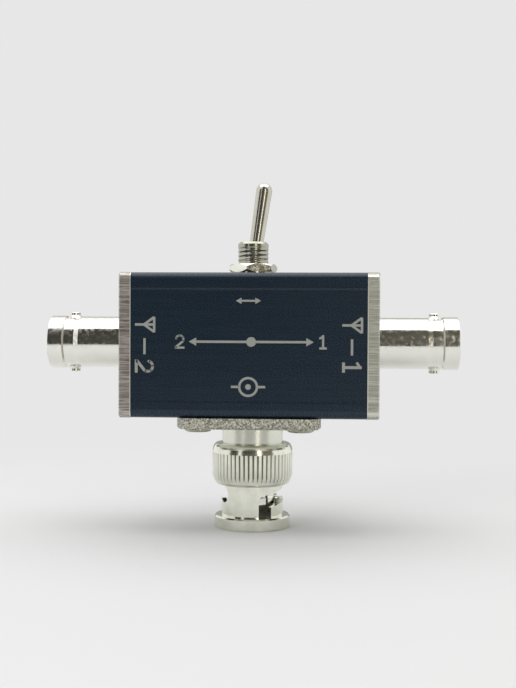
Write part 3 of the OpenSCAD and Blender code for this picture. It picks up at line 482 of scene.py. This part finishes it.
def knurl_band():
    """The band of knurls: each groove is a V with a few steps along the crest beside it."""
    pitch = math.tau / KNURL_COUNT
    half = KNURL_GROOVE / 2 / GRIP_R
    marks = [(0.0, KNURL_DEPTH)]
    crests = range(CREST_STEPS + 1)
    marks += [(half + (pitch - 2 * half) * step / CREST_STEPS, 0.0) for step in crests]
    spots = [(i * pitch + offset, depth) for i in range(KNURL_COUNT) for offset, depth in marks]
    crest = GRIP_R + BAND_PROUD

    def plain(radius, z):
        return [(radius, turn, z) for turn, _ in spots]

    def grooved(z):
        return [(crest - depth, turn, z) for turn, depth in spots]

    rings = [
        plain(BAND_IN_R, BAND_FOOT_Z),
        plain(crest - GRIP_BEVEL, BAND_FOOT_Z),
        grooved(GRIP_LINE_Z),
        grooved(BAND_TOP_Z),
        plain(BAND_IN_R, BAND_TOP_Z),
    ]
    mesh = ring_mesh("nut_knurls", rings, 25)
    new_piece("nut_knurls", mesh, "coupling_nut", NUT_NICKEL)


knurl_band()


def steel_copy(node, name, body):
    """A steel piece with its own copy of a CAD node's mesh, shown in the node's place."""
    mesh = frame["nodes"][node].data.copy()
    mesh.materials.clear()
    piece = new_piece(name, mesh, body, MATERIALS["steel"])
    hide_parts(node)
    return piece


# The wave spring, as a steel piece with a mesh of its own
wave = steel_copy("wave_spring", "wave_spring_sprung", "switch_box")
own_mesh(wave)

# The plunger's coil, as a steel piece on the lever with a mesh of its own
coil = steel_copy("plunger_spring", "plunger_spring_sprung", "lever")
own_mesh(coil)

# The slip washer is slightly thinner, which gives it room to turn against the retainer
WASHER_SHARE = 0.95
washer = steel_copy("slip_washer", "slip_washer_eased", "slip_carrier")
washer_low = in_mm("slip_washer")[0][2] * MM
for vertex in washer.data.vertices:
    vertex.co.z = washer_low + (vertex.co.z - washer_low) * WASHER_SHARE

# Markings on the labelled face: flat shapes up to a hundredth of a millimetre proud, stepped
# slightly in depth, so that no two that cross share a plane
FACE_Y = TUBE_LOW[1]
MID_Z = (TUBE_LOW[2] + TUBE_HIGH[2]) / 2
# Heights of the label's middle row, plug sign and lever sign above the middle of the tube
WAY_Z, PLUG_SIGN_Z, LEVER_SIGN_Z = 0.65, -7.2, 7.8
MARK_PROUD = 0.01
MARK_SUNK = 0.02
MARK_STEP = 0.002
MARK_LEVELS = 4
LINE = 0.42
HOOP_STEPS = 36


def bar(x0, z0, x1, z1, width=LINE):
    """Corners of a straight bar between two points."""
    along = Vector((x1 - x0, z1 - z0)).normalized()
    side = Vector((-along.y, along.x)) * width / 2
    a, b = Vector((x0, z0)), Vector((x1, z1))
    return [a - side, b - side, b + side, a + side]


def arrow_head(x, z, direction, size=1.3):
    """Solid arrow head whose point is at x, z; direction is +1 or -1 along X."""
    back = x - direction * size
    return [Vector((x, z)), Vector((back, z + size * 0.55)), Vector((back, z - size * 0.55))]


def disc(x, z, radius, steps=28):
    turns = turns_round(steps)
    return [Vector((x + radius * math.cos(t), z + radius * math.sin(t))) for t in turns]


def hoop(x, z, radius):
    """Quads round a circle."""
    inner, outer = radius - LINE / 2, radius + LINE / 2
    turns = turns_round(HOOP_STEPS) + [math.tau]
    quads = []
    for a, b in zip(turns, turns[1:]):
        corners = ((inner, a), (outer, a), (outer, b), (inner, b))
        quads.append([Vector((x + r * math.cos(t), z + r * math.sin(t))) for r, t in corners])
    return quads


def quarter_turn(shape, x, z):
    """The shape turned a quarter clockwise about the origin, then moved to x, z."""
    return [Vector((x + p.y, z - p.x)) for p in shape]


def marking(name, shapes):
    """One thin piece made of flat shapes on the labelled face."""
    work = bmesh.new()
    y_in = FACE_Y + MARK_SUNK
    for index, shape in enumerate(shapes):
        y_out = FACE_Y - MARK_PROUD + MARK_STEP * (index % MARK_LEVELS)
        # Every outline runs the same way round
        if sum(a.x * b.y - b.x * a.y for a, b in zip(shape, shape[1:] + shape[:1])) < 0:
            shape = shape[::-1]
        front = [work.verts.new((p.x * MM, y_out * MM, (MID_Z + p.y) * MM)) for p in shape]
        back = [work.verts.new((p.x * MM, y_in * MM, (MID_Z + p.y) * MM)) for p in shape]
        work.faces.new(front)
        work.faces.new(back[::-1])
        count = len(shape)
        for i in range(count):
            k = (i + 1) % count
            work.faces.new((front[i], back[i], back[k], front[k]))
    new_piece(name, closed_mesh(name, work), "switch_box", MARKING)


def numeral(digit, height, x, z, turned):
    """Shapes of a plain 1 or 2 centred on x, z; turned reads downwards."""
    stroke = 0.15 * height
    half = height / 2
    foot = -half + stroke / 2
    if digit == 1:
        shapes = [
            bar(0, -half, 0, half, stroke),
            bar(stroke * 0.3, half - stroke * 0.4, -0.26 * height, 0.24 * height, stroke * 0.9),
            bar(-0.26 * height, foot, 0.26 * height, foot, stroke),
        ]
    else:
        bowl = 0.26 * height
        top = half - bowl - stroke / 2
        arc = [math.radians(a) for a in range(165, -46, -15)]
        path = [Vector((bowl * math.cos(a), top + bowl * math.sin(a))) for a in arc]
        path.append(Vector((-bowl - stroke * 0.35, foot + stroke * 0.1)))
        shapes = [bar(a.x, a.y, b.x, b.y, stroke) for a, b in zip(path, path[1:])]
        shapes += [disc(p.x, p.y, stroke / 2, 14) for p in path[:-1]]
        shapes.append(bar(-bowl - stroke * 0.5, foot, bowl + stroke * 0.5, foot, stroke))
    if turned:
        return [quarter_turn(shape, x, z) for shape in shapes]
    return [[Vector((x + p.x, z + p.y)) for p in shape] for shape in shapes]


def aerial(x, z):
    """Aerial sign, turned like the label: a mast whose fork opens upwards."""
    shapes = [
        bar(0, -1.7, 0, 1.7),
        bar(-1.35, 1.7, 1.35, 1.7),
        bar(0, -0.1, -1.3, 1.7),
        bar(0, -0.1, 1.3, 1.7),
    ]
    return [quarter_turn(shape, x, z) for shape in shapes]


for side_name, label_x, digit in (("left", -18.2, 2), ("right", 18.0, 1)):
    marking("mark_aerial_" + side_name, aerial(label_x, 3.6))
    marking("mark_line_" + side_name, [bar(label_x, 1.2, label_x, -1.6)])
    marking("mark_number_" + side_name, numeral(digit, 3.4, label_x, -3.7, True))
marking("mark_way", [
    bar(-9.6, WAY_Z, 10.6, WAY_Z),
    arrow_head(-10.4, WAY_Z, -1),
    arrow_head(11.4, WAY_Z, 1),
    disc(0.5, WAY_Z, 0.85),
])
marking("mark_way_left", numeral(2, 2.5, -12.0, WAY_Z, False))
marking("mark_way_right", numeral(1, 2.5, 13.0, WAY_Z, False))
marking("mark_plug", hoop(0, PLUG_SIGN_Z, 1.55) + [
    disc(0, PLUG_SIGN_Z, 0.5),
    bar(-3.0, PLUG_SIGN_Z, -1.6, PLUG_SIGN_Z),
    bar(1.6, PLUG_SIGN_Z, 3.0, PLUG_SIGN_Z),
])
marking("mark_lever", [
    bar(-1.5, LEVER_SIGN_Z, 1.5, LEVER_SIGN_Z, 0.34),
    arrow_head(-2.2, LEVER_SIGN_Z, -1, 1.0),
    arrow_head(2.2, LEVER_SIGN_Z, 1, 1.0),
])


# ---------------------------------------------------------------- floor, light and camera

# Tone of floor and backdrop, and strength of the even light
PALE = (0.80, 0.80, 0.805)
EVEN_STRENGTH = 0.5
# The floor's radius in metres, and the distances between which it fades, in millimetres
FLOOR_R = 0.178
FLOOR_STEPS = 96
FADE_START, FADE_END = 95.0, 172.0


def ray_kinds(g):
    """The light path node, and a value that is 1 for mirror and glass rays."""
    path = g.add("ShaderNodeLightPath")
    mirror = g.math("MAXIMUM", path.outputs["Is Glossy Ray"], path.outputs["Is Transmission Ray"])
    return path, mirror


def floor_material():
    """Pale floor that keeps the shadow and turns into the backdrop away from the object."""
    made, g, shader = new_material("floor")
    place = g.place()
    fine = g.noise(place, 4.0, 2.0)
    g.link(g.blend(fine, PALE, (0.83, 0.83, 0.83)), shader.inputs["Base Color"])
    shader.inputs["Roughness"].default_value = 0.7
    shader.inputs["Specular IOR Level"].default_value = 0.2
    away = g.add("ShaderNodeVectorMath", operation="LENGTH")
    g.link(place, away.inputs[0])
    fade = g.span(away.outputs["Value"], FADE_START, FADE_END, 0.0, 1.0)
    path, mirror = ray_kinds(g)
    direct = g.math("MAXIMUM", path.outputs["Is Camera Ray"], mirror)
    backdrop = g.add("ShaderNodeEmission")
    backdrop.inputs["Color"].default_value = (*PALE, 1.0)
    both = g.add("ShaderNodeMixShader")
    g.link(g.math("MULTIPLY", fade, direct), both.inputs[0])
    g.link(shader.outputs[0], both.inputs[1])
    g.link(backdrop.outputs[0], both.inputs[2])
    g.link(both.outputs[0], g.tree.nodes["Material Output"].inputs["Surface"])
    return made


def build_floor():
    mesh = bpy.data.meshes.new("floor")
    rim = [(FLOOR_R * math.cos(t), FLOOR_R * math.sin(t), 0.0) for t in turns_round(FLOOR_STEPS)]
    mesh.from_pydata(rim, [], [tuple(range(FLOOR_STEPS))])
    floor = add_object("floor", mesh)
    mesh.materials.append(floor_material())


def build_world():
    """Even light for matt surfaces and a pale backdrop. Mirrors see a bright room, the dark of the
    studio straight in front and again further left past a bright gap, an olive wall on the right
    and a greyer patch behind."""
    world = bpy.data.worlds.new("studio")
    bpy.context.scene.world = world
    world.use_nodes = True
    g = Graph(world.node_tree)
    g.tree.nodes.clear()
    across, towards, upward = g.split(g.add("ShaderNodeTexCoord").outputs["Generated"])
    bright, grey, olive = (0.97, 0.97, 0.95), (0.35, 0.35, 0.35), (0.16, 0.145, 0.105)
    dark_left, dark_right = (0.045, 0.043, 0.038), (0.1, 0.094, 0.078)
    dark_side = (0.04, 0.038, 0.03)

    def between(value, rise, fall):
        """1 between two soft edges, each given by its start and end."""
        return g.math("MULTIPLY", g.span(value, *rise, 0.0, 1.0), g.span(value, *fall, 1.0, 0.0))

    # Azimuth in degrees, 0 straight in front and growing to the right
    ahead = g.math("MULTIPLY", towards, -1.0)
    azimuth = g.math("MULTIPLY", g.math("ARCTAN2", across, ahead), 180 / math.pi)
    front = g.ramp(azimuth, -18.0, 8.0, dark_left, dark_right)
    front = g.ramp(azimuth, 13.0, 17.0, front, olive)
    inside = between(azimuth, (-29.0, -26.0), (62.0, 68.0))
    in_front = g.math("MULTIPLY", g.span(towards, -0.36, -0.44, 0.0, 1.0), inside)
    on_left = between(azimuth, (-66.0, -62.0), (-39.0, -36.0))
    on_left = g.math("MULTIPLY", on_left, g.span(g.math("ABSOLUTE", upward), 0.4, 0.5, 1.0, 0.0))
    behind = g.span(towards, 0.8, 0.92, 0.0, 1.0)
    around = g.blend(in_front, g.blend(on_left, bright, dark_side), front)
    around = g.blend(behind, around, grey)
    even, backdrop, room = (g.add("ShaderNodeBackground") for _ in range(3))
    even.inputs["Color"].default_value = (1.0, 1.0, 1.0, 1.0)
    even.inputs["Strength"].default_value = EVEN_STRENGTH
    backdrop.inputs["Color"].default_value = (*PALE, 1.0)
    g.link(around, room.inputs["Color"])
    path, mirror = ray_kinds(g)
    reflected, seen = (g.add("ShaderNodeMixShader") for _ in range(2))
    g.link(mirror, reflected.inputs[0])
    g.link(even.outputs[0], reflected.inputs[1])
    g.link(room.outputs[0], reflected.inputs[2])
    g.link(path.outputs["Is Camera Ray"], seen.inputs[0])
    g.link(reflected.outputs[0], seen.inputs[1])
    g.link(backdrop.outputs[0], seen.inputs[2])
    g.link(seen.outputs[0], g.add("ShaderNodeOutputWorld").inputs[0])


def area_light(name, at, look_at, size, power, colour=(1.0, 1.0, 1.0), mirrored=True):
    """Rectangular lamp aimed at a point, in metres and watts; mirrored shows it in reflections."""
    data = bpy.data.lights.new(name, "AREA")
    data.shape = "RECTANGLE"
    data.size, data.size_y = size
    data.energy = power
    data.color = colour
    lamp = add_object(name, data)
    lamp.location = at
    lamp.visible_glossy = mirrored
    lamp.rotation_euler = (Vector(look_at) - Vector(at)).to_track_quat("-Z", "Y").to_euler()


# Middle of the object, in metres, at which the lamps in front are aimed
CENTRE = (0.0, 0.0, 0.034)
build_floor()
build_world()
area_light("overhead", (0.0, 0.06, 0.45), (0.0, 0.06, 0.0), (0.6, 0.52), 1.35)
area_light("strip", (0.14, -0.325, 0.10), CENTRE, (0.06, 0.3), 0.14, (1.0, 0.97, 0.86))
area_light("fill", (-0.28, -0.34, 0.2), CENTRE, (0.25, 0.25), 0.5, mirrored=False)


# Camera: turn, tilt and roll in degrees, place, sensor height and focal length
CAMERA_ANGLES = (3.45, 1.067, 0.267)
CAMERA_AT = (12.99, -200.0, 37.59)
SENSOR_H = 36.0
FOCAL_LENGTH = 56.44


def build_camera():
    """The photograph's viewpoint, found by fitting the object's own edges."""
    turn, tilt, roll = (math.radians(angle) for angle in CAMERA_ANGLES)
    level = math.cos(tilt)
    back = Vector((math.sin(turn) * level, -math.cos(turn) * level, math.sin(tilt)))
    right = Vector((math.cos(turn), math.sin(turn), 0.0))
    up = right.cross(-back)
    across = right * math.cos(roll) + up * math.sin(roll)
    above = up * math.cos(roll) - right * math.sin(roll)
    data = bpy.data.cameras.new("camera")
    data.sensor_fit = "VERTICAL"
    data.sensor_height = SENSOR_H
    data.lens = FOCAL_LENGTH
    data.clip_start = 0.005
    data.clip_end = 20.0
    camera = add_object("camera", data)
    place = Matrix((across, above, back)).transposed().to_4x4()
    place.translation = Vector(CAMERA_AT) * MM
    camera.matrix_world = place
    bpy.context.scene.camera = camera


build_camera()
bpy.context.scene.view_settings.view_transform = "Standard"
